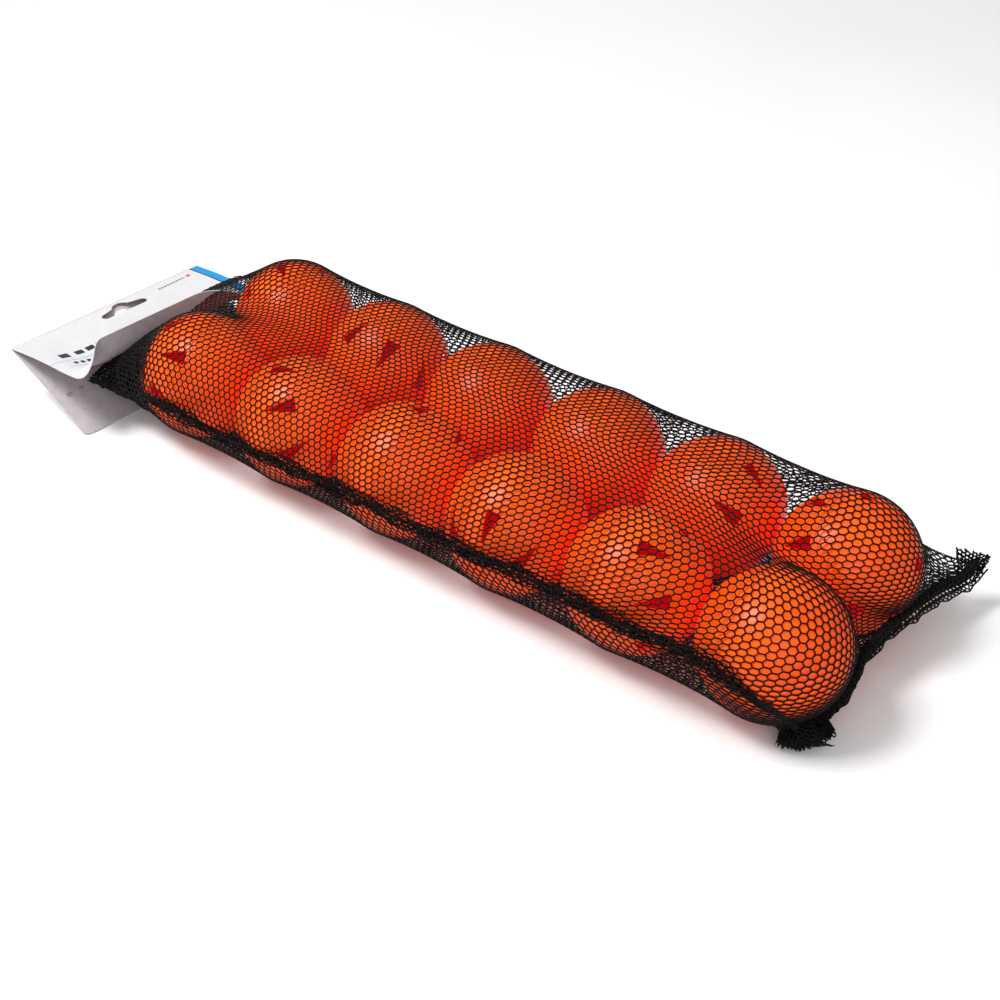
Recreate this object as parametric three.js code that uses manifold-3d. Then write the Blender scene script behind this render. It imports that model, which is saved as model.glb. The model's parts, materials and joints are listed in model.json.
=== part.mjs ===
// A mesh ball bag: twelve hollow practice balls lie in one layer, six by two, in a tube of knotted net.
// One end of the net is rolled and sewn shut, the other is gathered into a folded header card and stapled.
// Millimetres, +X along the bag towards the sewn end, +Y across to the back row, +Z up, floor at z = 0.
import * as THREE from 'three';
import { mergeVertices } from 'three/addons/utils/BufferGeometryUtils.js';
import Module from 'manifold-3d';

const wasm = await Module();
wasm.setup();

// ---- driving dimensions -------------------------------------------------------------------------
const BALL_R = 35;            // outside radius of a ball
const BALL_WALL = 1.5;
const HOLE_BASE = 8.5;        // the balls' holes are narrow triangles
const HOLE_HEIGHT = 18.5;
const HOLES = 8;              // in one ring on one half of the ball
const HOLE_LATITUDE = 60;     // degrees from the pole to the middle of a hole
const PITCH = 72.5;           // ball to ball along a row
const ROW_GAP = 71.3;         // row to row
const STAGGER = 0.95;         // the rows lie this much forwards and backwards of each other
const NET = 0.8;              // thickness of the net skin
const GAP = 0.4;              // clearance between touching pieces
const BALL_Z = BALL_R + GAP + NET;

const FLAP_WIDTH = 135;       // header card, along its fold
const FLAP_DEPTH = 71;        // from the fold to the free edge
const CARD = 0.5;             // board thickness
const FOLD = new THREE.Vector3(-291, -14.5, 31.5);
const CARD_TURN = -4.3;       // degrees about Z: the card sits slightly askew
const REAR_SLOPE = 25.5;      // degrees, the rear flap leans down to the floor
const SLOT = { u: 11, v: 4, length: 32, width: 7, bump: 6 };
const STAPLE = { u: 43, v: 55, crown: 11, wire: 0.6, reach: 3.9 };

// How each ball happens to lie: small shifts in its row, and where its ring's pole points.
const BALLS = [
  { name: 'ball_front_1', row: -1, column: 0, shift: [-2, -0.3], azimuth: -145, elevation: 15, spin: 45 },
  { name: 'ball_front_2', row: -1, column: 1, shift: [0.9, -0.4], azimuth: 10, elevation: 35, spin: 10 },
  { name: 'ball_front_3', row: -1, column: 2, shift: [1.5, 0], azimuth: 90, elevation: 5, spin: 5 },
  { name: 'ball_front_4', row: -1, column: 3, shift: [1, -0.3], azimuth: -90, elevation: -30, spin: 80 },
  { name: 'ball_front_5', row: -1, column: 4, shift: [-0.6, 0.1], azimuth: 15, elevation: 10, spin: 25 },
  { name: 'ball_front_6', row: -1, column: 5, shift: [-1, 0.8], azimuth: 95, elevation: -20, spin: 40 },
  { name: 'ball_back_1', row: 1, column: 0, shift: [-1.8, 2.7], azimuth: 150, elevation: 30, spin: 35 },
  { name: 'ball_back_2', row: 1, column: 1, shift: [0.5, 0], azimuth: 45, elevation: 60, spin: 20 },
  { name: 'ball_back_3', row: 1, column: 2, shift: [1.5, -0.2], azimuth: 135, elevation: -10, spin: 80 },
  { name: 'ball_back_4', row: 1, column: 3, shift: [1, -0.2], azimuth: -165, elevation: -60, spin: 5 },
  { name: 'ball_back_5', row: 1, column: 4, shift: [-0.6, 0.1], azimuth: -10, elevation: -10, spin: 85 },
  { name: 'ball_back_6', row: 1, column: 5, shift: [-0.8, 0.2], azimuth: -45, elevation: 50, spin: 30 },
];

const rad = THREE.MathUtils.degToRad;
const look = (color, roughness, metalness = 0) =>
  new THREE.MeshStandardMaterial({ color, roughness, metalness });
const ORANGE = look(0xff5a10, 0.45);
const BLACK_NET = look(0x151213, 0.8);
const WHITE_CARD = look(0xf0eff1, 0.6);
const STEEL = look(0xb8b8bc, 0.3, 1);

// ---- solids ---------------------------------------------------------------------------------------
function toManifold(geometry) {
  const bare = geometry.clone();
  bare.deleteAttribute('normal');
  bare.deleteAttribute('uv');
  const welded = mergeVertices(bare, 1e-4);
  return new wasm.Manifold(new wasm.Mesh({
    numProp: 3,
    vertProperties: new Float32Array(welded.attributes.position.array),
    triVerts: new Uint32Array(welded.index.array),
  }));
}

function fromManifold(solid) {
  const { vertProperties, triVerts } = solid.getMesh();
  const geometry = new THREE.BufferGeometry();
  geometry.setAttribute('position', new THREE.BufferAttribute(new Float32Array(vertProperties), 3));
  geometry.setIndex(new THREE.BufferAttribute(new Uint32Array(triVerts), 1));
  geometry.computeVertexNormals();
  return geometry;
}

function cut(geometry, ...tools) {
  return fromManifold(tools.reduce((solid, tool) => solid.subtract(toManifold(tool)), toManifold(geometry)));
}

function extrude(shape, depth, steps = 1) {
  return new THREE.ExtrudeGeometry(shape, { depth, steps, bevelEnabled: false, curveSegments: 6 });
}

function bar(points, section, steps) {
  const path = new THREE.CatmullRomCurve3(points.map((p) => new THREE.Vector3(...p)));
  return new THREE.ExtrudeGeometry(section, { extrudePath: path, steps, bevelEnabled: false });
}

function polygon(radius, sides) {
  const turn = (k) => (2 * Math.PI * k) / sides;
  return new THREE.Shape(Array.from({ length: sides }, (_, k) =>
    new THREE.Vector2(radius * Math.cos(turn(k)), radius * Math.sin(turn(k)))));
}

function rectangle(width, height) {
  return new THREE.Shape([[-1, -1], [1, -1], [1, 1], [-1, 1]].map(([x, y]) =>
    new THREE.Vector2((x * width) / 2, (y * height) / 2)));
}

// ---- a ball: a thin shell with a ring of triangular holes, points alternately to and from the pole --
function holeCutter(index) {
  const up = index % 2 === 0 ? 1 : -1;
  const triangle = new THREE.Shape([
    new THREE.Vector2(-HOLE_BASE / 2, (-up * HOLE_HEIGHT) / 2),
    new THREE.Vector2(HOLE_BASE / 2, (-up * HOLE_HEIGHT) / 2),
    new THREE.Vector2(0, (up * HOLE_HEIGHT) / 2),
  ]);
  const cutter = extrude(triangle, 0.4 * BALL_R);
  cutter.translate(0, 0, 0.75 * BALL_R);
  cutter.rotateZ(Math.PI / 2);                        // the triangle's height lies along a meridian
  cutter.rotateY(rad(HOLE_LATITUDE));
  cutter.rotateZ((2 * Math.PI * index) / HOLES);
  return cutter;
}

function ballGeometry() {
  const inside = new THREE.IcosahedronGeometry(BALL_R - BALL_WALL, 2);
  const cutters = Array.from({ length: HOLES }, (_, k) => holeCutter(k));
  return cut(new THREE.IcosahedronGeometry(BALL_R, 3), inside, ...cutters);
}

function ballPose({ azimuth, elevation, spin }) {
  const [a, e, s] = [azimuth, elevation, spin].map(rad);
  const pole = new THREE.Vector3(Math.cos(e) * Math.cos(a), Math.cos(e) * Math.sin(a), Math.sin(e));
  const across = new THREE.Vector3(Math.sin(e) * Math.cos(a), Math.sin(e) * Math.sin(a), -Math.cos(e));
  const side = new THREE.Vector3().crossVectors(pole, across);
  return new THREE.Matrix4().makeBasis(across, side, pole).multiply(new THREE.Matrix4().makeRotationZ(s));
}

// ---- the net: a thin tube of flattened sections, open at the card and closed at the sewn end -------
const ARC = 8;                // points on each rounded side of a section
const TUBE_FROM = -184;       // the tube has its full section between these two, and narrows beyond
const TUBE_TO = 181;
const NARROWING = [0, 15, 30, 45, 60, 75, 80];
const NEAR = -36.1;           // middle of the full section's near and far rounded sides
const FAR = 38.5;

function tubeStations() {
  const end = (x0, reach, nearOut, farOut) => NARROWING.map((degrees) => {
    const s = Math.sin(rad(degrees));
    const spread = s ** 6;
    return {
      x: x0 + reach * s,
      scale: Math.cos(rad(degrees)),
      z: BALL_Z - 20 * spread,
      near: NEAR - nearOut * spread,
      far: FAR + farOut * spread,
    };
  });
  return [...end(TUBE_FROM, -44, 20, 10).reverse(), ...end(TUBE_TO, 42, 0, 36)];
}

function tubeRing({ x, scale, z, near, far }, skin) {
  const step = Math.PI / ARC;
  const radius = ((BALL_R + GAP) * scale + skin) / Math.cos(step / 2);
  const side = (y, sign) => Array.from({ length: ARC }, (_, k) => {
    const angle = -Math.PI / 2 + (k + 0.5) * step;
    return [x, y + sign * radius * Math.cos(angle), z + sign * radius * Math.sin(angle)];
  });
  return [...side(far, 1), ...side(near, -1)];
}

function netTube() {
  const stations = tubeStations();
  const outer = stations.map((station) => tubeRing(station, NET));
  const inner = stations.slice(0, -1).map((station) => tubeRing(station, 0));
  const rings = [...inner.reverse(), ...outer];       // from the inside's end, out at the mouth, and back
  const count = rings[0].length;
  const index = [];
  for (let r = 0; r + 1 < rings.length; r += 1) {
    for (let k = 0; k < count; k += 1) {
      const [a, b] = [r * count + k, r * count + ((k + 1) % count)];
      index.push(a, b, a + count, b, b + count, a + count);
    }
  }
  const cap = (ring, flip) => {
    for (let k = 1; k + 1 < count; k += 1) {
      const fan = [ring * count, ring * count + k, ring * count + k + 1];
      index.push(...(flip ? fan.reverse() : fan));
    }
  };
  cap(0, true);
  cap(rings.length - 1, false);
  const geometry = new THREE.BufferGeometry();
  geometry.setAttribute('position', new THREE.Float32BufferAttribute(rings.flat(2), 3));
  geometry.setIndex(index);
  geometry.computeVertexNormals();
  return geometry;
}

// ---- the sewn end: rolled hem, its thread, the loose edge of net below it, and two corners ---------
const SEAM_R = 3;
const SEAM_PATH = [[226, -47, 12], [227, -20, 17], [227, 10, 20], [227, 40, 20.5], [227, 70, 20], [227, 88, 20]];
const THREAD_R = 0.6;

function offsetPath(path, dx, dy, dz) {
  return path.map(([x, y, z]) => [x + dx, y + dy, z + dz]);
}

function backEar() {
  const outline = [[200, 78], [209, 98], [219, 106], [227, 106], [229, 96], [222, 92], [222, 84], [206, 78]];
  return extrude(new THREE.Shape(outline.map((p) => new THREE.Vector2(...p))), 2).translate(0, 0, 19);
}

function frontEar() {
  return new THREE.IcosahedronGeometry(1, 2).scale(12, 10, 6.8).translate(212, -62.5, 7);
}

function sideGather() {
  const path = [[-196, -77, 33], [-120, -76.8, 36], [0, -76.8, 37], [150, -76.8, 36.5], [182, -77, 31], [197, -75, 20]];
  return bar(path, polygon(3.4, 8), 36);
}

// ---- the header card, in its own frame: u away from the fold, v along it ---------------------------
function slotCutter() {
  const { u, v, length, width, bump } = SLOT;
  const half = length / 2;
  const shape = new THREE.Shape();
  shape.moveTo(-width / 2, -half);
  shape.lineTo(width / 2, -half);
  shape.lineTo(width / 2, half);
  shape.lineTo(-width / 2, half);
  shape.lineTo(-width / 2, bump);
  shape.absarc(-width / 2, 0, bump, Math.PI / 2, (3 * Math.PI) / 2, false);
  return extrude(shape, 40).translate(u, v, -20);
}

function stapleOutline(grow) {
  const { crown, wire, reach } = STAPLE;
  const [w, h, clench] = [crown / 2 + grow, reach + grow, 3 + grow];
  const t = wire + 2 * grow;
  const [left, right, low] = [-w, w, -grow];
  return new THREE.Shape([
    [left, low], [right, low], [right, h + wire], [right - clench, h + wire], [right - clench, h + wire - t],
    [right - t, h + wire - t], [right - t, low + t], [left + t, low + t], [left + t, h + wire - t],
    [left + clench, h + wire - t], [left + clench, h + wire], [left, h + wire],
  ].map((p) => new THREE.Vector2(...p)));
}

// A staple stands with its crown under the rear flap and its clenched ends on top of the gathered net.
function staple(side, grow = 0) {
  const depth = STAPLE.wire + 2 * grow;
  const geometry = extrude(stapleOutline(grow), depth).translate(0, -CARD - 1.1, -depth / 2);
  geometry.rotateX(Math.PI / 2).rotateZ(Math.PI / 2);
  return geometry.translate(STAPLE.u, side * STAPLE.v, 0).rotateY(rad(REAR_SLOPE));
}

function rearFlap() {
  const sheet = new THREE.BoxGeometry(FLAP_DEPTH, FLAP_WIDTH, CARD).translate(FLAP_DEPTH / 2 + 0.8, 0, -CARD / 2);
  const flat = cut(sheet, slotCutter());
  return cut(flat.rotateY(rad(REAR_SLOPE)), staple(-1, 0.35), staple(1, 0.35));
}

// The front flap's underside, as distance from the fold and height above it: level, then curled up.
const FRONT_PROFILE = [[0.4, 0.6], [26, 1.5], [48, 2], [55, 3.6], [59.5, 8], [61, 14.5]];

function frontFlap() {
  const top = FRONT_PROFILE.map(([u, h]) => [u, h + CARD]).reverse();
  const outline = [...FRONT_PROFILE, ...top].map((p) => new THREE.Vector2(...p));
  const bent = extrude(new THREE.Shape(outline), FLAP_WIDTH);
  return cut(bent.rotateX(Math.PI / 2).translate(0, FLAP_WIDTH / 2, 0), slotCutter());
}

// The net's gathered mouth lies flat between the two flaps, pinned down by the staples.
function mouthGather() {
  const sheet = new THREE.BoxGeometry(42, 122, 2.2).translate(40.5, 0, 1.6).rotateY(rad(REAR_SLOPE));
  return cut(sheet, staple(-1, 0.35), staple(1, 0.35));
}

// ---- assembly --------------------------------------------------------------------------------------
const bag = new THREE.Group();

function add(parent, name, geometry, material) {
  const mesh = new THREE.Mesh(geometry, material);
  mesh.name = name;
  parent.add(mesh);
  return mesh;
}

const ball = ballGeometry();
for (const entry of BALLS) {
  const mesh = add(bag, entry.name, ball, ORANGE);
  mesh.quaternion.setFromRotationMatrix(ballPose(entry));
  mesh.position.set(
    PITCH * (entry.column - 2.5) - entry.row * STAGGER + entry.shift[0],
    (entry.row * ROW_GAP) / 2 + entry.shift[1],
    BALL_Z,
  );
}

add(bag, 'net_tube', netTube(), BLACK_NET);
add(bag, 'side_gather', sideGather(), BLACK_NET);
add(bag, 'end_seam', bar(SEAM_PATH, polygon(SEAM_R, 8), 24), BLACK_NET);
const threadPath = offsetPath(SEAM_PATH, 0, 0, SEAM_R + THREAD_R + GAP);
add(bag, 'seam_thread', bar(threadPath, polygon(THREAD_R, 6), 24), BLACK_NET);
add(bag, 'net_selvage', bar(offsetPath(SEAM_PATH, 0.6, 0, -7.4), rectangle(7, 1.2), 24), BLACK_NET);
add(bag, 'corner_ear_front', frontEar(), BLACK_NET);
add(bag, 'corner_ear_back', backEar(), BLACK_NET);

const card = new THREE.Group();
card.position.copy(FOLD);
card.rotation.z = rad(CARD_TURN);
bag.add(card);
add(card, 'card_rear_flap', rearFlap(), WHITE_CARD);
add(card, 'card_front_flap', frontFlap(), WHITE_CARD);
add(card, 'mouth_gather', mouthGather(), BLACK_NET);
add(card, 'staple_near', staple(-1), STEEL);
add(card, 'staple_far', staple(1), STEEL);

// The origin is at the middle of the bag's footprint, on the floor.
bag.updateMatrixWorld(true);
const box = new THREE.Box3().setFromObject(bag, true);
const middle = box.getCenter(new THREE.Vector3());
bag.position.set(-middle.x, -middle.y, -box.min.z);

const group = new THREE.Group();
group.add(bag);
export default group;
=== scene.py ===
"""Mesh ball bag: fine balls, knotted net, sewn hem and printed header card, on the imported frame.

Metres, +Z up.
"""
import json
import math

import bmesh
import bpy
import numpy as np
from mathutils import Matrix, Vector


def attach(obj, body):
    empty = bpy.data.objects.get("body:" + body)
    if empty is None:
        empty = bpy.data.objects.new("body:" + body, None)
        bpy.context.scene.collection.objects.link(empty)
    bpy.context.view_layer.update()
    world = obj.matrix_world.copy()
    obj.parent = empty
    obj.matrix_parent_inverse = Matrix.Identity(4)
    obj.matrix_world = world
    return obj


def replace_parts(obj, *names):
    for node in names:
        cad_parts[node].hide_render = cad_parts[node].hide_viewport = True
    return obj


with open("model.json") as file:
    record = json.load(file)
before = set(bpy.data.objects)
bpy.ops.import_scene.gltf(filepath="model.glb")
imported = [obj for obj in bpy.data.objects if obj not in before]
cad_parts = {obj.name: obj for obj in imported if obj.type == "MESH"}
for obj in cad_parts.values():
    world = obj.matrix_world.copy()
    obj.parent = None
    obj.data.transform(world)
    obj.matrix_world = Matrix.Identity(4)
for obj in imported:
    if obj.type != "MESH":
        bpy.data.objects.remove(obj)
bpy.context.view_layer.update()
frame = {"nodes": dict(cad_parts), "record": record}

MM = 0.001
BALL_R = 35 * MM
BALL_WALL = 1.5 * MM
HOLES = 8
HOLE_LATITUDE = 60  # degrees from the pole of the ring to the middle of a hole
HOLE_BASE = 8.5 * MM
HOLE_HEIGHT = 18.5 * MM
HOLE_CORNER = 0.8 * MM
CARD = 0.5 * MM
FLAP_WIDTH = 135 * MM
CARD_TURN = math.radians(-4.3)
REAR_SLOPE = math.radians(25.5)
THREAD = 0.63 * MM  # width of a net thread
CELL_ALONG = 4.05 * MM  # the net's cells: along the bag, and row to row round it
CELL_AROUND = 3.4 * MM
ROW_TO_ROW = 2 * 36.8 * MM  # the flat of the bag's section, before the skin is relaxed
SKIN_FLOOR = 0.5 * MM  # lowest middle of a thread

CAMERA_ANGLES = 38.52, 37.02, -0.37  # azimuth, elevation and roll, in degrees
CAMERA_PLACE = np.array([398.7, -501.7, 494.4]) * MM  # from the middle of the rows, on the floor
CAMERA_LENS = 55.08  # for a sensor 36 wide

# Where the pole of each ball's ring of holes points: azimuth, elevation, spin, in degrees.
BALL_TURNS = {
    "ball_front_1": (-145, 15, 45), "ball_front_2": (10, 35, 10), "ball_front_3": (90, 5, 5),
    "ball_front_4": (-90, -30, 80), "ball_front_5": (15, 10, 25), "ball_front_6": (95, -20, 40),
    "ball_back_1": (150, 30, 35), "ball_back_2": (45, 60, 20), "ball_back_3": (135, -10, 80),
    "ball_back_4": (-165, -60, 5), "ball_back_5": (-10, -10, 85), "ball_back_6": (-45, 50, 30),
}

joints = {j["name"]: j for j in frame["record"]["behaviour"]["joints"]}
ball_centres = {name: np.array(joints[name + "_roll"]["pos_m"]) for name in BALL_TURNS}
grid = sum(ball_centres.values()) / len(ball_centres)  # the middle of the rows
BALL_Z = grid[2]
grid = np.array([grid[0], grid[1], 0.0])
fold = np.array(joints["card_flap_fold"]["pos_m"]) - [0, 0, 0.65 * MM]


# ---- camera --------------------------------------------------------------------------------------
def make_camera():
    azimuth, elevation, roll = (math.radians(a) for a in CAMERA_ANGLES)
    data = bpy.data.cameras.new("camera")
    data.sensor_width = 36
    data.lens = CAMERA_LENS
    camera = bpy.data.objects.new("camera", data)
    turn = Matrix.Rotation(azimuth, 4, "Z") @ Matrix.Rotation(math.pi / 2 - elevation, 4, "X")
    camera.matrix_world = (
        Matrix.Translation(Vector(grid + CAMERA_PLACE))
        @ turn
        @ Matrix.Rotation(roll, 4, "Z")
    )
    bpy.context.collection.objects.link(camera)
    bpy.context.scene.camera = camera


make_camera()


# ---- materials -----------------------------------------------------------------------------------
class Nodes:
    """A material's node tree with short calls."""

    def __init__(self, name):
        self.material = bpy.data.materials.new(name)
        self.material.use_nodes = True
        self.tree = self.material.node_tree
        self.shader = self.tree.nodes["Principled BSDF"]

    def add(self, kind, **settings):
        node = self.tree.nodes.new(kind)
        for key, value in settings.items():
            setattr(node, key, value)
        return node

    def link(self, source, target):
        self.tree.links.new(source, target)

    def value(self, name, value):
        self.shader.inputs[name].default_value = value

    def noise(self, scale, detail=3):
        node = self.add("ShaderNodeTexNoise")
        node.inputs["Scale"].default_value = scale
        node.inputs["Detail"].default_value = detail
        coordinates = self.add("ShaderNodeTexCoord")
        self.link(coordinates.outputs["Object"], node.inputs["Vector"])
        return node.outputs["Fac"]

    def bump(self, height, strength, distance):
        node = self.add("ShaderNodeBump")
        node.inputs["Strength"].default_value = strength
        node.inputs["Distance"].default_value = distance
        self.link(height, node.inputs["Height"])
        self.link(node.outputs["Normal"], self.shader.inputs["Normal"])

    def ramp(self, factor, low, high, start=0.35, stop=0.65):
        node = self.add("ShaderNodeValToRGB")
        node.color_ramp.elements[0].color = (*low, 1)
        node.color_ramp.elements[1].color = (*high, 1)
        node.color_ramp.elements[0].position = start
        node.color_ramp.elements[1].position = stop
        self.link(factor, node.inputs["Fac"])
        return node.outputs["Color"]

    def span(self, factor, low, high):
        node = self.add("ShaderNodeMapRange")
        node.inputs["To Min"].default_value = low
        node.inputs["To Max"].default_value = high
        self.link(factor, node.inputs["Value"])
        return node.outputs["Result"]


def ball_plastic():
    m = Nodes("ball_plastic")
    m.link(m.ramp(m.noise(45), (0.92, 0.1, 0.0008), (0.97, 0.122, 0.001)), m.shader.inputs["Base Color"])
    m.link(m.span(m.noise(160, 4), 0.27, 0.38), m.shader.inputs["Roughness"])
    m.value("Specular IOR Level", 0.2)
    m.value("Emission Color", (1, 0, 0, 1))  # painted glow: a red emission stands in for daylight through the thin plastic and paints the shaded sides deep red
    m.value("Emission Strength", 0.2)
    m.bump(m.noise(900, 2), 0.06, 0.0002)
    return m.material


def ball_inside_painted_shade_and_glow():
    """The inner wall: a darker, deeper red copy of the ball's orange as painted shade, and a red emission as
    a painted glow that stands in for daylight through the thin orange plastic.
    """
    m = Nodes("ball_inside_painted_shade_and_glow")
    m.link(m.ramp(m.noise(60), (0.62, 0.01, 0.003), (0.75, 0.02, 0.004)), m.shader.inputs["Base Color"])
    m.value("Roughness", 0.55)
    m.value("Specular IOR Level", 0.2)
    m.value("Emission Color", (0.55, 0.0, 0.003, 1))
    m.value("Emission Strength", 0.3)
    return m.material


def net_cord():
    m = Nodes("net_cord")
    tone = m.ramp(m.noise(700), (0.0015, 0.0012, 0.0013), (0.006, 0.0042, 0.0045))
    m.link(tone, m.shader.inputs["Base Color"])
    m.value("Roughness", 0.7)
    m.value("Specular IOR Level", 0.12)
    m.value("Sheen Weight", 0.01)
    m.bump(m.noise(4200, 2), 0.5, 0.0002)
    return m.material


def rolled_cloth():
    """The dense core of a rolled or bunched stretch of net."""
    m = Nodes("rolled_net")
    m.link(m.ramp(m.noise(900), (0.001, 0.001, 0.001), (0.006, 0.0045, 0.005)), m.shader.inputs["Base Color"])
    m.value("Roughness", 0.85)
    m.value("Specular IOR Level", 0.15)
    m.bump(m.noise(1500, 4), 0.9, 0.0006)
    return m.material


def steel_wire():
    m = Nodes("staple_wire")
    m.link(m.ramp(m.noise(500), (0.5, 0.5, 0.52), (0.66, 0.66, 0.67)), m.shader.inputs["Base Color"])
    m.value("Metallic", 1.0)
    m.link(m.span(m.noise(900), 0.25, 0.4), m.shader.inputs["Roughness"])
    return m.material


PAPER = (0.57, 0.56, 0.57), (0.6, 0.59, 0.6)  # coated outer face
BOARD = (0.43, 0.39, 0.4), (0.5, 0.455, 0.465)  # raw grey inner face


class Print(Nodes):
    """Board whose print is laid out in millimetres from the fold and along it (the card's UV map)."""

    def __init__(self, name, base):
        super().__init__(name)
        split = self.add("ShaderNodeSeparateXYZ")
        self.link(self.add("ShaderNodeUVMap", uv_map="card").outputs["UV"], split.inputs["Vector"])
        self.s, self.v = split.outputs["X"], split.outputs["Y"]
        self.colour = base

    def math(self, operation, a, b):
        node = self.add("ShaderNodeMath", operation=operation)
        for socket, value in zip(node.inputs, (a, b)):
            if isinstance(value, (int, float)):
                socket.default_value = value
            else:
                self.link(value, socket)
        return node.outputs["Value"]

    def within(self, value, low, high):
        above, below = self.math("GREATER_THAN", value, low), self.math("LESS_THAN", value, high)
        return self.math("MULTIPLY", above, below)

    def block(self, s, v, colour, pitch=None, duty=0.7):
        """A printed rectangle, or with a pitch a row of them."""
        mask = self.math("MULTIPLY", self.within(self.s, *s), self.within(self.v, *v))
        if pitch:
            place = self.math("FRACT", self.math("DIVIDE", self.math("SUBTRACT", self.v, v[0]), pitch), 0)
            mask = self.math("MULTIPLY", mask, self.math("LESS_THAN", place, duty))
        mix = self.add("ShaderNodeMix", data_type="RGBA")
        self.link(mask, mix.inputs["Factor"])
        self.link(self.colour, mix.inputs["A"])
        mix.inputs["B"].default_value = (*colour, 1)
        self.colour = mix.outputs["Result"]


def card_board(name, printed, tones):
    """Card; the print is plain blocks and lines, and no lettering."""
    plain = Print(name, None)
    plain.colour = plain.ramp(plain.noise(220, 5), *tones)
    if printed:
        ink, grey = (0.012, 0.012, 0.018), (0.18, 0.18, 0.2)
        plain.block((-1, 90), (62, 70), (0.0, 0.24, 0.56))
        plain.block((-1, 90), (61, 62), (0.004, 0.02, 0.09))
        plain.block((40.3, 41.1), (-70, 46), (0.2, 0.4, 0.62))
        plain.block((31, 36.5), (-57, -51), ink)
        plain.block((31.5, 36), (-47, 12), ink, 7.5, 0.72)
        plain.block((43.5, 46.5), (-55, 0), ink, 4.2, 0.6)
        plain.block((49, 49.5), (-60, -30), grey)
        plain.block((6.5, 8.5), (32, 52), grey, 2.2, 0.75)
        plain.block((6, 9), (53.5, 56), (0.62, 0.03, 0.02))
    plain.link(plain.colour, plain.shader.inputs["Base Color"])
    plain.link(plain.span(plain.noise(300), 0.42, 0.5), plain.shader.inputs["Roughness"])
    plain.value("Specular IOR Level", 0.35)
    plain.bump(plain.noise(1800, 4), 0.08, 0.0002)
    return plain.material


BALL = ball_plastic()
BALL_INSIDE_PAINTED_SHADE_AND_GLOW = ball_inside_painted_shade_and_glow()
NET = net_cord()
CORE = rolled_cloth()
STEEL = steel_wire()


# ---- building helpers ----------------------------------------------------------------------------
def piece(name, points, faces, material):
    mesh = bpy.data.meshes.new(name)
    mesh.from_pydata(np.asarray(points).tolist(), [], [list(map(int, f)) for f in faces])
    mesh.update()
    mesh.shade_smooth()
    mesh.materials.append(material)
    thing = bpy.data.objects.new(name, mesh)
    bpy.context.collection.objects.link(thing)
    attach(thing, "bag")
    return thing


def tube_faces(rings, sides):
    """The faces of a closed tube whose points are listed ring by ring."""
    around = [(b, (b + 1) % sides) for b in range(sides)]
    faces = [(a * sides + b, a * sides + n, (a + 1) * sides + n, (a + 1) * sides + b)
             for a in range(rings - 1) for b, n in around]
    return faces + [list(range(sides))[::-1], [(rings - 1) * sides + b for b in range(sides)]]


def add_prism(solid, low, high):
    """Adds the closed prism between two outlines to a bmesh."""
    low, high = ([solid.verts.new(point) for point in outline] for outline in (low, high))
    solid.faces.new(low[::-1])
    solid.faces.new(high)
    for k in range(len(low)):
        n = (k + 1) % len(low)
        solid.faces.new((low[k], low[n], high[n], high[k]))


def cut_away(body, cutter):
    """The first bmesh less the second one, as a mesh; both are used up."""
    bmesh.ops.recalc_face_normals(cutter, faces=cutter.faces)
    solids = []
    for name, source in (("body", body), ("cutter", cutter)):
        mesh = bpy.data.meshes.new(name)
        source.to_mesh(mesh)
        source.free()
        solids.append(bpy.data.objects.new(name, mesh))
        bpy.context.collection.objects.link(solids[-1])
    cut = solids[0].modifiers.new("cut", "BOOLEAN")
    cut.object, cut.operation, cut.solver = solids[1], "DIFFERENCE", "EXACT"
    shown = solids[0].evaluated_get(bpy.context.evaluated_depsgraph_get())
    mesh = bpy.data.meshes.new_from_object(shown)
    for solid in solids:
        bpy.data.objects.remove(solid)
    return mesh


def unit(v):
    return v / np.maximum(np.linalg.norm(v, axis=-1, keepdims=True), 1e-12)


def smooth_path(points, count):
    """A smooth curve of count points through the given ones, spaced evenly."""
    points = np.asarray(points, float)
    padded = np.vstack([2 * points[0] - points[1], points, 2 * points[-1] - points[-2]])
    fine = []
    for k in range(len(points) - 1):
        p0, p1, p2, p3 = padded[k:k + 4]
        t = np.linspace(0, 1, 40, endpoint=False)[:, None]
        fine.append(0.5 * (2 * p1 + (p2 - p0) * t + (2 * p0 - 5 * p1 + 4 * p2 - p3) * t**2
                           + (3 * p1 - p0 - 3 * p2 + p3) * t**3))
    fine = np.vstack([*fine, points[-1:]])
    run = np.concatenate([[0], np.cumsum(np.linalg.norm(np.diff(fine, axis=0), axis=1))])
    at = np.linspace(0, run[-1], count)
    return np.stack([np.interp(at, run, fine[:, k]) for k in range(3)], 1)


def soft_step(x):
    x = np.clip(x, 0, 1)
    return x * x * (3 - 2 * x)


def waves(seed, scale, count=5):
    """A smooth random function of two variables, made of a few sine waves."""
    draw = np.random.default_rng(seed)
    terms = [(draw.normal(0, scale, 2), draw.uniform(0, 2 * math.pi)) for _ in range(count)]
    return lambda a, b: sum(np.sin(k[0] * a + k[1] * b + phase) for k, phase in terms) / count


# ---- balls ---------------------------------------------------------------------------------------
def rounded_triangle():
    half, tip = HOLE_BASE / 2, HOLE_HEIGHT / 2
    corners = [Vector((-half, -tip)), Vector((half, -tip)), Vector((0, tip))]
    outline = []
    for k, corner in enumerate(corners):
        before = (corners[k - 1] - corner).normalized()
        after = (corners[(k + 1) % 3] - corner).normalized()
        inset = HOLE_CORNER / math.tan(before.angle(after) / 2)
        for s in np.linspace(0, 1, 5):
            outline.append((corner + before * inset).lerp(corner, s).lerp(
                corner.lerp(corner + after * inset, s), s))
    return outline


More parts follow.
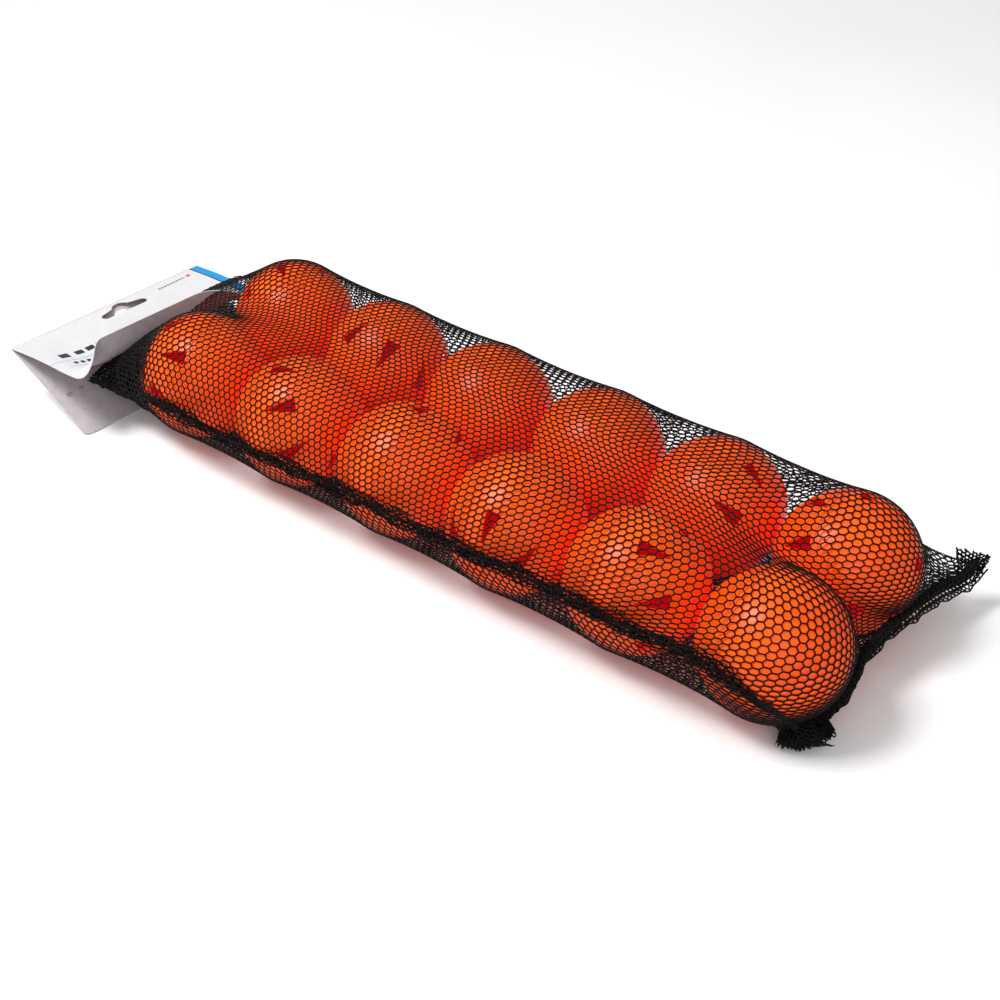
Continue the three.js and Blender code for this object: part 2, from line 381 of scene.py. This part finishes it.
def ball_mesh():
    """A thin shell with a ring of rounded triangular holes, pointing up and down by turns."""
    cutters = bmesh.new()
    outline = rounded_triangle()
    for k in range(HOLES):
        flip = 1 if k % 2 == 0 else -1
        place = (Matrix.Rotation(2 * math.pi * k / HOLES, 4, "Z")
                 @ Matrix.Rotation(math.radians(HOLE_LATITUDE), 4, "Y")
                 @ Matrix.Rotation(math.pi / 2, 4, "Z"))
        low, high = ([place @ Vector((x * flip, y * flip, reach * BALL_R)) for x, y in outline]
                     for reach in (0.8, 1.1))
        add_prism(cutters, low, high)
    shell = bmesh.new()
    bmesh.ops.create_icosphere(shell, subdivisions=5, radius=BALL_R)
    inside = bmesh.ops.create_icosphere(shell, subdivisions=4, radius=BALL_R - BALL_WALL)["verts"]
    bmesh.ops.reverse_faces(shell, faces=list({f for v in inside for f in v.link_faces}))
    mesh = cut_away(shell, cutters)
    mesh.materials.clear()
    mesh.materials.append(BALL)
    mesh.materials.append(BALL_INSIDE_PAINTED_SHADE_AND_GLOW)
    for face in mesh.polygons:
        # inner faces take the painted shade and painted glow material
        face.material_index = int(face.center.length < BALL_R - 0.9 * BALL_WALL)
    mesh.shade_smooth()
    mesh.set_sharp_from_angle(angle=math.radians(35))
    return mesh


def ball_turn(azimuth, elevation, spin):
    """Turns the pole of the ring of holes to an azimuth and elevation, and the ring about it."""
    a, e = math.radians(azimuth), math.radians(elevation)
    pole = Vector((math.cos(e) * math.cos(a), math.cos(e) * math.sin(a), math.sin(e)))
    across = Vector((math.sin(e) * math.cos(a), math.sin(e) * math.sin(a), -math.cos(e)))
    turn = Matrix((across, pole.cross(across), pole)).transposed().to_4x4()
    return turn @ Matrix.Rotation(math.radians(spin), 4, "Z")


shared_ball = ball_mesh()
for name, angles in BALL_TURNS.items():
    mesh = shared_ball.copy()
    mesh.transform(Matrix.Translation(Vector(ball_centres[name])) @ ball_turn(*angles))
    thing = bpy.data.objects.new(name + "_shell", mesh)
    bpy.context.collection.objects.link(thing)
    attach(thing, name)
    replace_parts(thing, name)


# ---- the net as real thread ----------------------------------------------------------------------
def net_mesh(surface, columns, rows, first=0, last=None):
    """Threads of a staggered hexagonal net on surface(u, v), with u and v from 0 to 1.

    Each cell owns the two knots above and below its middle. A knot has a corner towards each of the three
    cells that meet there, and a thread joins the four corners that face each other at its two ends.
    Only the cells in rows first to last are made.
    """
    last = rows if last is None else last
    width, height = THREAD, 0.75 * THREAD
    i, j = np.meshgrid(np.arange(columns), np.arange(first - 2, last + 2), indexing="ij")
    tip = (1 + 0.25 * (CELL_ALONG / CELL_AROUND) ** 2) / 2  # half a cell's height, in rows
    across = (i + 0.5 * (j % 2) + 0.25) / columns

    def knots(side):
        u, v = across.ravel(), ((j + side * tip) / rows).ravel()
        step = 0.25 / max(columns, rows)
        middle = surface(u, v)
        normal = unit(np.cross(surface(u + step, v) - surface(u - step, v),
                               surface(u, v + step) - surface(u, v - step)))
        return middle.reshape(*i.shape, 3), normal.reshape(*i.shape, 3)

    (top, top_normal), (low, low_normal) = knots(1), knots(-1)
    odd = (j % 2)[..., None]

    def shift(values, di, dj):
        return np.roll(values, (-di, -dj), (0, 1))

    def right(values, dj):
        return np.where(odd == 1, shift(values, 1, dj), shift(values, 0, dj))

    def left(values, dj):
        return np.where(odd == 1, shift(values, 0, dj), shift(values, -1, dj))

    def corners(knot, normal, ahead, to_right, to_left):
        forward, r, l = unit(ahead - knot), unit(to_right - knot), unit(to_left - knot)
        own, by_right, by_left = unit(r + l), unit(forward + r), unit(forward + l)
        reach = 0.58 * width
        flat = np.stack([knot + reach * own, knot + reach * by_right, knot + reach * by_left], 2)
        lift = (height / 2) * normal[:, :, None]
        return np.stack([flat + lift, flat - lift], 3)  # column, row, corner, outside or inside

    top_corners = corners(top, top_normal, shift(low, 0, 2), right(low, 1), left(low, 1))
    low_corners = corners(low, low_normal, shift(top, 0, -2), right(top, -1), left(top, -1))
    points = np.concatenate([top_corners.reshape(-1, 3), low_corners.reshape(-1, 3)])
    half = len(points) // 2
    cell = i * i.shape[1] + (j - (first - 2))
    own, by_right, by_left = 0, 1, 2

    def vertex(cells, corner, inside, low_knot):
        return cells * 6 + corner * 2 + inside + low_knot * half

    inner = (j >= first) & (j < last) & (i > 0) & (i < columns - 1)
    faces = []

    def join(cells, others, a, b, c, d):
        """A thread from a top knot's corners a and b to the corners c and d of another cell's low knot."""
        t, o = cells[inner], others[inner]
        ends = [(t, a, 0), (t, b, 0), (o, c, 1), (o, d, 1)]
        out = [vertex(cells_, corner, 0, low_) for cells_, corner, low_ in ends]
        back = [vertex(cells_, corner, 1, low_) for cells_, corner, low_ in ends]
        faces.append(np.stack([out[0], out[3], out[2], out[1]], 1))
        faces.append(np.stack([back[0], back[1], back[2], back[3]], 1))
        faces.append(np.stack([out[0], back[0], back[3], out[3]], 1))
        faces.append(np.stack([out[1], out[2], back[2], back[1]], 1))

    right_cell = np.where(j % 2 == 1, np.roll(cell, (-1, -1), (0, 1)), np.roll(cell, (0, -1), (0, 1)))
    left_cell = np.where(j % 2 == 1, np.roll(cell, (0, -1), (0, 1)), np.roll(cell, (1, -1), (0, 1)))
    join(cell, right_cell, own, by_right, own, by_left)
    join(cell, left_cell, by_left, own, by_right, own)
    join(cell, np.roll(cell, (0, -2), (0, 1)), by_right, by_left, by_left, by_right)
    quads = np.concatenate(faces)
    knot_faces = []
    for low_knot in (0, 1):
        c = cell[inner]
        outside = [vertex(c, corner, 0, low_knot) for corner in (own, by_right, by_left)]
        inside = [vertex(c, corner, 1, low_knot) for corner in (own, by_right, by_left)]
        knot_faces += [np.stack(outside, 1), np.stack(inside[::-1], 1)]
    used, renumbered = np.unique(np.concatenate([quads.ravel(), np.concatenate(knot_faces).ravel()]),
                                 return_inverse=True)
    split = quads.size
    return points[used], renumbered[:split].reshape(-1, 4), renumbered[split:].reshape(-1, 3)


def net_piece(name, surface, columns, rows, **parts):
    points, quads, triangles = net_mesh(surface, columns, rows, **parts)
    mesh = bpy.data.meshes.new(name)
    mesh.vertices.add(len(points))
    mesh.vertices.foreach_set("co", points.astype(np.float32).ravel())
    loops = np.concatenate([quads.ravel(), triangles.ravel()]).astype(np.int32)
    mesh.loops.add(len(loops))
    mesh.loops.foreach_set("vertex_index", loops)
    starts = np.concatenate([np.arange(len(quads)) * 4, quads.size + np.arange(len(triangles)) * 3])
    mesh.polygons.add(len(starts))
    mesh.polygons.foreach_set("loop_start", starts.astype(np.int32))
    mesh.update(calc_edges=True)
    mesh.validate()
    mesh.shade_smooth()
    mesh.materials.append(NET)
    thing = bpy.data.objects.new(name, mesh)
    bpy.context.collection.objects.link(thing)
    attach(thing, "bag")
    return thing


# ---- the bag's shape: a skin under tension, drawn over the balls and the floor --------------------
SEAM = np.array([[205, -52, 7], [212, -34, 14], [213, -20, 19], [210.5, -6, 23], [211, 8, 26], [213, 26, 27],
                 [215, 45, 26], [217, 62, 23], [221, 80, 20], [222, 91, 25]]) * MM
MOUTH = np.array([[-251, -68, 20.5], [-249, -52, 24], [-251, -11, 28.5], [-254, 6, 31], [-254, 24, 33],
                  [-248, 55, 37]]) * MM
SKIN_U, SKIN_V = 150, 132
CLEAR = 0.55 * MM  # from the ball to the middle of a thread
RELAX_STEPS = 420
PULL_ALONG = 7  # the skin's pull along the bag, against 1 round it


def flat_ring(line, thickness, count):
    """A closed flattened loop: over the top from the near end to the far one, and back underneath."""
    half = smooth_path(line, count // 2 + 1)
    lift = np.array([0, 0, thickness / 2])
    return np.vstack([half[:-1] + lift, half[::-1][:-1] - lift])


def stadium(count):
    """The full section: over the top from the near side, and back underneath; y and z from the middle."""
    flat, r = ROW_TO_ROW, BALL_R + 1 * MM
    t = np.linspace(0, 1, count, endpoint=False) * (2 * flat + 2 * math.pi * r)
    lengths = np.cumsum([math.pi * r / 2, flat, math.pi * r, flat])
    y, z = np.empty(count), np.empty(count)
    for k, s in enumerate(t):
        if s < lengths[0]:
            a = s / r
            y[k], z[k] = -flat / 2 - r * math.cos(a), r * math.sin(a)
        elif s < lengths[1]:
            y[k], z[k] = -flat / 2 + (s - lengths[0]), r
        elif s < lengths[2]:
            a = (s - lengths[1]) / r
            y[k], z[k] = flat / 2 + r * math.sin(a), r * math.cos(a)
        elif s < lengths[3]:
            y[k], z[k] = flat / 2 - (s - lengths[2]), -r
        else:
            a = (s - lengths[3]) / r
            y[k], z[k] = -flat / 2 - r * math.sin(a), -r * math.cos(a)
    return y, z


def relax_skin():
    """A membrane between the mouth and the seam, kept out of the balls and off the floor."""
    y, z = stadium(SKIN_V)
    mouth, seam = flat_ring(MOUTH, 6 * MM, SKIN_V), flat_ring(SEAM, 2.4 * MM, SKIN_V)
    xs = np.linspace(-1, 1, SKIN_U)
    middle = np.stack([np.broadcast_to(0 * y, y.shape), y, z + BALL_Z], 1)
    skin = np.empty((SKIN_U, SKIN_V, 3))
    for k, s in enumerate(xs):
        end, reach = (mouth, 0.72) if s < 0 else (seam, 0.8)
        mix = np.clip((abs(s) - reach) / (1 - reach), 0, 1)
        ring = middle + [s * 235 * MM, 0, 0]
        ring[:, 0] = ring[:, 0] * (1 - mix) + end[:, 0] * mix
        bulge = 1 - mix**2.2
        ring[:, 1:] = ring[:, 1:] * bulge + end[:, 1:] * (1 - bulge)
        skin[k] = ring
    skin[0], skin[-1] = mouth, seam
    centres = np.array([c - grid for c in ball_centres.values()])
    for _ in range(RELAX_STEPS):
        along = skin[:-2] + skin[2:]
        inner = skin[1:-1]
        about = np.roll(inner, 1, 1) + np.roll(inner, -1, 1)
        target = (PULL_ALONG * along + about) / (2 * PULL_ALONG + 2)
        inner += 0.8 * (target - inner)
        for c in centres:
            away = inner - c
            distance = np.linalg.norm(away, axis=2, keepdims=True)
            np.copyto(inner, c + away / distance * (BALL_R + CLEAR), where=distance < BALL_R + CLEAR)
        np.maximum(inner[..., 2], CLEAR, out=inner[..., 2])
    return skin


def sampler(skin, around=True):
    """surface(u, v) by blending the skin's four nearest points."""
    count_u, count_v = skin.shape[:2]

    def surface(u, v):
        a = np.clip(u, 0, 1) * (count_u - 1)
        i = np.minimum(a.astype(int), count_u - 2)
        fa = (a - i)[:, None]
        b = (v % 1.0) * count_v if around else np.clip(v, 0, 1) * (count_v - 1)
        k = b.astype(int) if around else np.minimum(b.astype(int), count_v - 2)
        fb = (b - k)[:, None]
        n = (k + 1) % count_v
        k = k % count_v
        return ((skin[i, k] * (1 - fb) + skin[i, n] * fb) * (1 - fa)
                + (skin[i + 1, k] * (1 - fb) + skin[i + 1, n] * fb) * fa) + grid
    return surface


def even(lines, closed):
    """Moves the points of each line so that they are evenly spaced along it."""
    out = np.empty_like(lines)
    for k, line in enumerate(lines):
        track = np.vstack([line, line[:1]]) if closed else line
        run = np.concatenate([[0], np.cumsum(np.linalg.norm(np.diff(track, axis=0), axis=1))])
        at = np.linspace(0, run[-1], len(line), endpoint=not closed)
        out[k] = np.stack([np.interp(at, run, track[:, axis]) for axis in range(3)], 1)
    return out


def outside(points, clear=CLEAR):
    """Moves points out of the balls and off the floor; points are measured from the middle of the rows."""
    for c in ball_centres.values():
        away = points - (c - grid)
        distance = np.linalg.norm(away, axis=-1, keepdims=True)
        points = np.where(distance < BALL_R + clear, (c - grid) + away / distance * (BALL_R + clear), points)
    points[..., 2] = np.maximum(points[..., 2], SKIN_FLOOR)
    return points


skin = relax_skin()
for _ in range(3):
    skin = even(skin.transpose(1, 0, 2), False).transpose(1, 0, 2)
    skin[1:-1] = even(skin, True)[1:-1]
skin = outside(skin)
bag_surface = sampler(skin)
length = float(np.linalg.norm(np.diff(skin, axis=0), axis=2).sum(0).mean())
girth = float(np.linalg.norm(skin - np.roll(skin, 1, 1), axis=2).sum(1)[20:-20].mean())
columns = round(length / CELL_ALONG)
rows = 4 * round(girth / CELL_AROUND / 4)
upper = net_piece("net_upper", bag_surface, columns, rows, first=0, last=rows // 2)
lower = net_piece("net_lower", bag_surface, columns, rows, first=rows // 2, last=rows)
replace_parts(upper, "net_tube")


# ---- bunched stretches of the same net -------------------------------------------------------------
def frames(path):
    """Two unit directions across a path at each point: sideways, and as near upwards as it can be."""
    ahead = unit(np.gradient(path, axis=0))
    side = unit(np.cross(ahead, [0, 0, 1.0]))
    return side, np.cross(side, ahead)


def strip(points):
    """surface(u, v) over an open grid of points, kept out of the balls."""
    return sampler(outside(points), around=False)


def pleated(path, across, depth, folds, seed, count_u=260, count_v=60):
    """A band of net gathered into folds along a path: across wide, and depth thick."""
    line = smooth_path(path, count_u)
    side, up = frames(line)
    wobble, slip = waves(seed, 9), waves(seed + 1, 14)
    u, v = np.meshgrid(np.linspace(0, 1, count_u), np.linspace(0, 1, count_v), indexing="ij")
    fold_at = 2 * math.pi * (folds * v + 0.7 * wobble(u * 6, v))
    out = depth * (0.5 * np.sin(fold_at) + 0.45 * slip(u * 9, v * 4))
    swell = 0.85 + 0.7 * slip(u * 8, 0 * v)
    rise = across * swell * (v - 0.5 + 0.3 * slip(u * 5 + 3, v * 3) + 0.16 * np.sin(fold_at * 1.7))
    taper = np.clip(np.minimum(u, 1 - u) * 9, 0.25, 1)[..., None]
    return line[:, None] + taper * (side[:, None] * out[..., None] + up[:, None] * rise[..., None])


def net_strip(name, points, length, width, tight=1.0, node=None):
    """Net thread on a grid of points; tight above 1 packs its cells closer."""
    columns, rows = round(tight * length / CELL_ALONG), 2 * round(tight * width / CELL_AROUND / 2)
    thing = net_piece(name, strip(points), columns, rows)
    if node:
        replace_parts(thing, node)
    return thing


BAND = np.array([[-220, -56, 24], [-200, -66, 33], [-176, -72, 37], [-116, -73, 36.5], [-60, -73, 39.5],
                 [0, -73.5, 41], [45, -73, 41.5], [90, -73, 44], [119, -73, 43], [146, -72.5, 45.5],
                 [168, -71.5, 44.5], [188, -70, 38], [203, -60, 24], [207, -52, 12]]) * MM
for k, seed in enumerate((11, 23)):
    points = pleated(BAND + np.array([0, 0.8 * k, -1.2 * k]) * MM, 8 * MM, 3.6 * MM, 2, seed)
    net_strip(f"side_band_{k + 1}", points, 0.42, 0.034, node="side_gather" if k == 0 else None)


def mouth_fold(seed, reach, drop, start, stop):
    """A loose fold of the net between the card and the first balls, from start to stop round the bag."""
    u, v = np.meshgrid(np.linspace(0, reach, 50), np.linspace(start, stop, 90), indexing="ij")
    ripple, slide = waves(seed, 7), waves(seed + 1, 5)
    points = bag_surface(u.ravel(), v.ravel()).reshape(*u.shape, 3) - grid
    swell = np.sin(np.clip(u / reach, 0, 1) * math.pi)[..., None]
    move = np.stack([ripple(u * 60, v * 20), slide(u * 50, v * 25), ripple(u * 45 + 2, v * 22)], -1)
    return points + swell * (2.6 * MM * move - np.array([0, 0, drop * MM]))


# Each fold of the mouth: seed, reach along the bag, drop in millimetres, start and stop round the bag.
MOUTH_FOLDS = (31, 0.13, 1.0, -0.16, 0.2), (41, 0.09, 2.5, -0.12, 0.16), (43, 0.025, 0.0, 0.02, 0.28)
for k, (seed, reach, drop, start, stop) in enumerate(MOUTH_FOLDS):
    net_strip(f"mouth_fold_{k + 1}", mouth_fold(seed, reach, drop, start, stop), reach * length,
              (stop - start) * 0.33, tight=1.1, node="mouth_gather" if k == 0 else None)


# ---- the sewn end -----------------------------------------------------------------------------------
def sweep(name, path, radius, sides, material, seed, rough=0.22):
    """A lumpy closed cord along a path."""
    line = smooth_path(path, 160)
    side, up = frames(line)
    lumps = waves(seed, 5)
    turn = np.linspace(0, 2 * math.pi, sides, endpoint=False)
    u = np.linspace(0, 1, len(line))[:, None]
    blunt = np.clip(np.minimum(u, 1 - u) * 30 + 0.15, 0, 1)
    r = radius * (1 + rough * 2 * lumps(u * 22, turn[None] * 0.8)) * blunt
    rings = (line[:, None] + (r * np.cos(turn))[..., None] * side[:, None]
             + (r * np.sin(turn))[..., None] * up[:, None])
    points = outside(rings, 0.2 * MM).reshape(-1, 3) + grid
    thing = piece(name, points, tube_faces(len(line), sides), material)
    return thing


HEM = SEAM + np.array([0.4, 0, 0.6]) * MM
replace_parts(sweep("end_hem_roll", HEM, 2.0 * MM, 16, CORE, 61, 0.12), "end_seam")


def wrap(path, radius, seed, count=160, sides=16):
    """A grid of points once round a path."""
    line = smooth_path(path, count)
    side, up = frames(line)
    turn = np.linspace(0, 2 * math.pi, sides)
    lumps = waves(seed, 5)
    u = np.linspace(0, 1, count)[:, None]
    r = radius * (1 + 0.2 * lumps(u * 24, turn[None] * 0.8))
    return (line[:, None] + (r * np.cos(turn))[..., None] * side[:, None]
            + (r * np.sin(turn))[..., None] * up[:, None])


net_strip("end_hem_wrap", wrap(HEM, 2.4 * MM, 67), 0.16, 0.022, tight=1.2)


def hem_stitches():
    """An overlock thread that runs round the hem in a zigzag."""
    turns = 34
    line = smooth_path(HEM, turns * 12)
    side, up = frames(line)
    turn = np.linspace(0, 2 * math.pi * turns, len(line))[:, None]
    return line + 2.75 * MM * (side * np.cos(turn) + up * np.sin(turn))


def thread(name, line, radius, node=None):
    """A round sewing thread along a line."""
    sides = 6
    ahead = unit(np.gradient(line, axis=0))
    side = unit(np.cross(ahead, [0.31, 0.22, 0.92]))
    up = np.cross(side, ahead)
    turn = np.linspace(0, 2 * math.pi, sides, endpoint=False)
    rings = line[:, None] + radius * (np.cos(turn)[None, :, None] * side[:, None]
                                      + np.sin(turn)[None, :, None] * up[:, None])
    thing = piece(name, rings.reshape(-1, 3) + grid, tube_faces(len(line), sides), NET)
    if node:
        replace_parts(thing, node)


thread("hem_stitches", outside(hem_stitches(), 0.3 * MM), 0.28 * MM, "seam_thread")


def selvage(seed, reach):
    """The raw edge of the net, ruffled, outside and below the hem."""
    line = smooth_path(HEM, 200)
    u, v = np.meshgrid(np.linspace(0, 1, 200), np.linspace(0, 1, 14), indexing="ij")
    ruffle, edge = waves(seed, 6), waves(seed + 1, 7)
    out = np.array([0.72, 0.05, -0.68])
    width = reach * (0.35 + 0.75 * soft_step((u - 0.1) / 0.7) + 0.2 * edge(u * 9, 0 * v))
    sway = 1.0 * MM * v * ruffle(u * 20, v * 1.5)
    return (line[:, None] + out * (width * v)[..., None]
            + sway[..., None] * np.array([0.6, 0.3, 0.7]))


for k, (seed, reach) in enumerate(((71, 7 * MM), (83, 5 * MM))):
    net_strip(f"selvage_{k + 1}", selvage(seed, reach), 0.165, 0.008, tight=1.25,
              node="net_selvage" if k == 0 else None)
    thread(f"selvage_edge_{k + 1}", outside(selvage(seed, reach)[:, -2]), 0.45 * MM)


def ear(seed):
    """The far corner: a flat pointed tab of raw net."""
    u, v = np.meshgrid(np.linspace(0, 1, 30), np.linspace(0, 1, 30), indexing="ij")
    root = np.array([[211, 87, 31], [219, 82, 11]]) * MM
    tip = np.array([[231, 92, 33], [226, 89, 17]]) * MM
    u3, v3 = u[..., None], v[..., None]
    flat = (root[0] * (1 - u3) + root[1] * u3) * (1 - v3) + (tip[0] * (1 - u3) + tip[1] * u3) * v3
    crease = waves(seed, 6)
    pinch = flat.mean((0, 1)) + (flat - flat.mean((0, 1))) * (1 - 0.25 * v3 * (1 - u3))
    move = [crease(u * 9, v * 9), crease(u * 8 + 4, v * 7), crease(u * 7, v * 10 + 2)]
    return pinch + 1.4 * MM * np.stack(move, -1)


for k, seed in enumerate((91, 97, 101, 103)):
    net_strip(f"ear_far_{k + 1}", ear(seed), 0.024, 0.022, tight=1.45,
              node="corner_ear_back" if k == 0 else None)


def lump(centre, radii, seed, rough, count=48):
    """A crumpled ball of net."""
    round_it, down_it = np.linspace(0, 2 * math.pi, count), np.linspace(0.12, math.pi - 0.12, count)
    a, b = np.meshgrid(round_it, down_it, indexing="ij")
    swell = waves(seed, 1.6, 7)
    way = np.stack([np.cos(a) * np.sin(b), np.sin(a) * np.sin(b), np.cos(b)], -1)
    grow = 1 + rough * swell(way[..., 0] * 4 + way[..., 2] * 3, way[..., 1] * 4 - way[..., 2] * 2)
    return np.array(centre) * MM + way * grow[..., None] * np.array(radii) * MM


KNOT = (205, -45, 8.5)
for k, (radii, seed) in enumerate((((12, 9, 7), 113), ((10, 8, 6), 127), ((15, 8, 5), 131))):
    net_strip(f"ear_near_{k + 1}", lump(KNOT, radii, seed, 0.3), 0.065, 0.03, tight=1.5,
              node="corner_ear_front" if k == 0 else None)
knot_path = np.array([[198, -54, 7], [204, -52, 6], [210, -46, 7], [214, -38, 11]]) * MM
sweep("ear_near_core", knot_path, 4.5 * MM, 18, CORE, 139, 0.35)


# ---- the header card -------------------------------------------------------------------------------
SLOT = {"s": 11 * MM, "v": 4 * MM, "length": 32 * MM, "width": 6 * MM, "bump": 6 * MM}
SLIP = 3 * MM  # how much further from the fold the rear flap's slot is set: a guess
FLAP_DEPTH = 71 * MM
CORNER = 5 * MM


def slot_outline(place):
    """Half-round ends, with a round bump towards the fold; place is its middle's distance from the fold."""
    half, r = SLOT["length"] / 2, SLOT["width"] / 2

    def arc(cx, cy, radius, start, stop):
        return [(cx + radius * math.cos(a), cy + radius * math.sin(a)) for a in np.linspace(start, stop, 12)]

    points = arc(0, half - r, r, 0, math.pi)
    points += arc(-r, 0, SLOT["bump"], math.pi / 2 + 0.35, 1.5 * math.pi - 0.35)
    points += arc(0, -half + r, r, math.pi, 2 * math.pi)
    return [(place + x, SLOT["v"] + y) for x, y in points]


def flat_card(slot_at):
    """A flat board with rounded free corners and the hanging slot, as a mesh in (s, v, thickness)."""
    sheet = bmesh.new()
    bmesh.ops.create_grid(sheet, x_segments=52, y_segments=60, size=0.5)
    for vert in sheet.verts:
        s, v = (vert.co.x + 0.5) * FLAP_DEPTH, vert.co.y * FLAP_WIDTH
        near = max(0.0, s - (FLAP_DEPTH - CORNER)), max(0.0, abs(v) - (FLAP_WIDTH / 2 - CORNER))
        if near[0] and near[1]:
            shrink = min(1.0, CORNER / math.hypot(*near) * max(near) / CORNER)
            s = FLAP_DEPTH - CORNER + near[0] * shrink
            v = math.copysign(FLAP_WIDTH / 2 - CORNER + near[1] * shrink, v)
        vert.co = (s, v, 0)
    made = bmesh.ops.extrude_face_region(sheet, geom=list(sheet.faces))["geom"]
    bmesh.ops.translate(sheet, verts=[g for g in made if isinstance(g, bmesh.types.BMVert)], vec=(0, 0, CARD))
    bmesh.ops.recalc_face_normals(sheet, faces=sheet.faces)
    cutter = bmesh.new()
    outline = slot_outline(slot_at)
    add_prism(cutter, *([(x, y, z * MM) for x, y in outline] for z in (-2, 2)))
    return cut_away(sheet, cutter)


def front_bend(s, v, t):
    """The front flap bows from the fold, and its free edge curls up, less towards its two corners."""
    near = 1 - soft_step((v + FLAP_WIDTH / 2) / (28 * MM))
    far = soft_step((v - 25 * MM) / (38 * MM))
    along = np.linspace(0, FLAP_DEPTH, 240)
    curl = np.radians(100 * (1 - 0.96 * near) * (1 - 0.85 * far))[:, None]
    angle = (np.radians(7 * near + 4 * far)[:, None] + math.radians(3) * np.cos(along / (16 * MM))
             + curl * soft_step((along - 47 * MM) / (16 * MM)))
    step = along[1]
    x = np.cumsum(np.cos(angle), 1) * step
    z = np.cumsum(np.sin(angle), 1) * step
    at = np.clip(s / step, 0, len(along) - 1.001)
    k, row = at.astype(int), np.arange(len(s))
    f = at - k

    def mix(values):
        return values[row, k] * (1 - f) + values[row, k + 1] * f

    a = mix(angle)
    return mix(x) - t * np.sin(a), mix(z) + t * np.cos(a) + 0.55 * MM


def rear_bend(s, _, t):
    """The rear flap slopes to the floor with a slight bow."""
    sag = 1.2 * MM * np.sin(math.pi * s / FLAP_DEPTH)
    c, n = math.cos(REAR_SLOPE), math.sin(REAR_SLOPE)
    return s * c + (sag - t) * n, -s * n + (sag - t) * c


def turned(x, v, z):
    """Points by distance from the fold, place along it and height, turned as the card lies."""
    c, n = math.cos(CARD_TURN), math.sin(CARD_TURN)
    return np.stack([x * c - v * n, x * n + v * c, z], -1)


def card_flap(name, slot_at, bend, body, node):
    """One flap of the card: its upper face is printed, and its lower one is raw board."""
    mesh = flat_card(slot_at)
    co = np.empty(len(mesh.vertices) * 3)
    mesh.vertices.foreach_get("co", co)
    s, v, t = co.reshape(-1, 3).T
    layer = mesh.uv_layers.new(name="card")
    corner = np.empty(len(mesh.loops), int)
    mesh.loops.foreach_get("vertex_index", corner)
    layer.data.foreach_set("uv", (np.stack([s, v], 1)[corner] / MM).ravel())
    x, z = bend(s, v, t)
    points = turned(x, v, np.maximum(z + fold[2], 0.15 * MM)) + [fold[0], fold[1], 0]
    mesh.vertices.foreach_set("co", points.ravel())
    mesh.update()
    mesh.materials.clear()
    mesh.materials.append(card_board(name + "_print", True, PAPER))
    mesh.materials.append(card_board(name + "_board", False, BOARD))
    for face in mesh.polygons:
        face.material_index = int(max(t[k] for k in face.vertices) < CARD / 2)
    mesh.shade_smooth()
    mesh.set_sharp_from_angle(angle=math.radians(40))
    thing = bpy.data.objects.new(name, mesh)
    bpy.context.collection.objects.link(thing)
    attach(thing, body)
    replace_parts(thing, node)


card_flap("card_front", SLOT["s"], front_bend, "card_flap", "card_front_flap")
card_flap("card_rear", SLOT["s"] + SLIP, rear_bend, "bag", "card_rear_flap")


def fold_crease():
    """The rounded board along the fold, which covers the gap between the two flaps."""
    radius, sides, rings = 0.85 * MM, 16, 2
    v = np.linspace(-FLAP_WIDTH / 2, FLAP_WIDTH / 2, rings)[:, None]
    turn = np.linspace(0, 2 * math.pi, sides, endpoint=False)[None]
    x, z = radius * np.cos(turn) + 0 * v, radius * np.sin(turn) + 0 * v
    points = turned(x, v, z + 0.65 * MM).reshape(-1, 3) + fold
    board = card_board("card_crease", False, PAPER)
    crease = piece("card_fold_crease", points, tube_faces(rings, sides), board)
    crease.data.set_sharp_from_angle(angle=math.radians(40))


fold_crease()
for name in ("staple_near", "staple_far"):
    frame["nodes"][name].material_slots[0].material = STEEL


# ---- floor and light -----------------------------------------------------------------------------
def make_stage():
    bpy.ops.mesh.primitive_plane_add(size=8, location=(0, 0, 0))
    floor = bpy.context.object
    floor.name = "floor"
    m = Nodes("floor")
    m.link(m.ramp(m.noise(3), (0.86, 0.86, 0.86), (0.9, 0.9, 0.9)), m.shader.inputs["Base Color"])
    m.value("Roughness", 0.9)
    m.value("Specular IOR Level", 0.1)
    floor.data.materials.append(m.material)


def area_light(name, place, aim, size, power):
    data = bpy.data.lights.new(name, "AREA")
    data.size = size
    data.energy = power
    light = bpy.data.objects.new(name, data)
    light.location = place
    light.rotation_euler = (Vector(aim) - Vector(place)).to_track_quat("-Z", "Y").to_euler()
    bpy.context.collection.objects.link(light)


def make_light():
    world = bpy.data.worlds.new("studio")
    bpy.context.scene.world = world
    world.use_nodes = True
    world.node_tree.nodes["Background"].inputs["Color"].default_value = (1, 1, 1, 1)
    world.node_tree.nodes["Background"].inputs["Strength"].default_value = 0.6
    area_light("key", (-0.5, -0.5, 1.3), (0, 0, 0), 0.5, 20)
    area_light("fill", (1.0, -0.9, 0.9), (0, 0, 0), 1.2, 5)
    bpy.context.scene.view_settings.view_transform = "Standard"


make_stage()
make_light()
